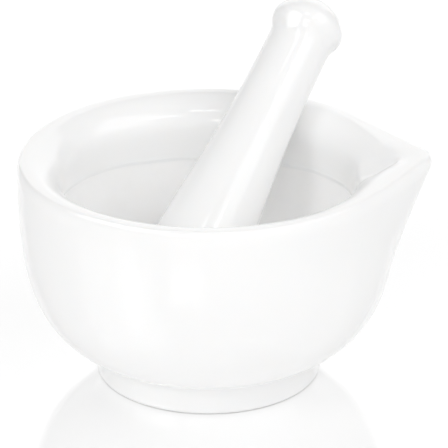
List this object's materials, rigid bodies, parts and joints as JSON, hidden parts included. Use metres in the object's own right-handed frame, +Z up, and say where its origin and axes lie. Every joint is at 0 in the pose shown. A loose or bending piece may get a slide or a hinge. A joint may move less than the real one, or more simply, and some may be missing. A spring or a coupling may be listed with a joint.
{
  "type": "mortar and pestle",
  "caption": "Thick-walled white glazed porcelain mortar with foot ring and pouring lip, and a loose pestle with knob and swelling grinding head leaning on its rim.",
  "frame": {"origin": "centre of the flat ring under the mortar's foot, on the bowl's axis, at table level", "axes": "+Z up along the bowl's axis, +X towards the pouring lip, the XZ plane is the mortar's mirror plane"},
  "size_m": [0.1082, 0.105, 0.0884],
  "materials": {
    "glazed_porcelain": "clear glossy glaze over white porcelain; bare and matt on the grinding surfaces and under the foot"
  },
  "bodies": {
    "mortar": {"mortar": "glazed_porcelain"},
    "pestle": {"pestle": "glazed_porcelain"}
  },
  "joints": [
    {"name": "pestle_lift", "type": "slide", "parent": "mortar", "child": "pestle", "axis": [0, 0, 1], "range_m": [0, 0.07]}
  ]
}
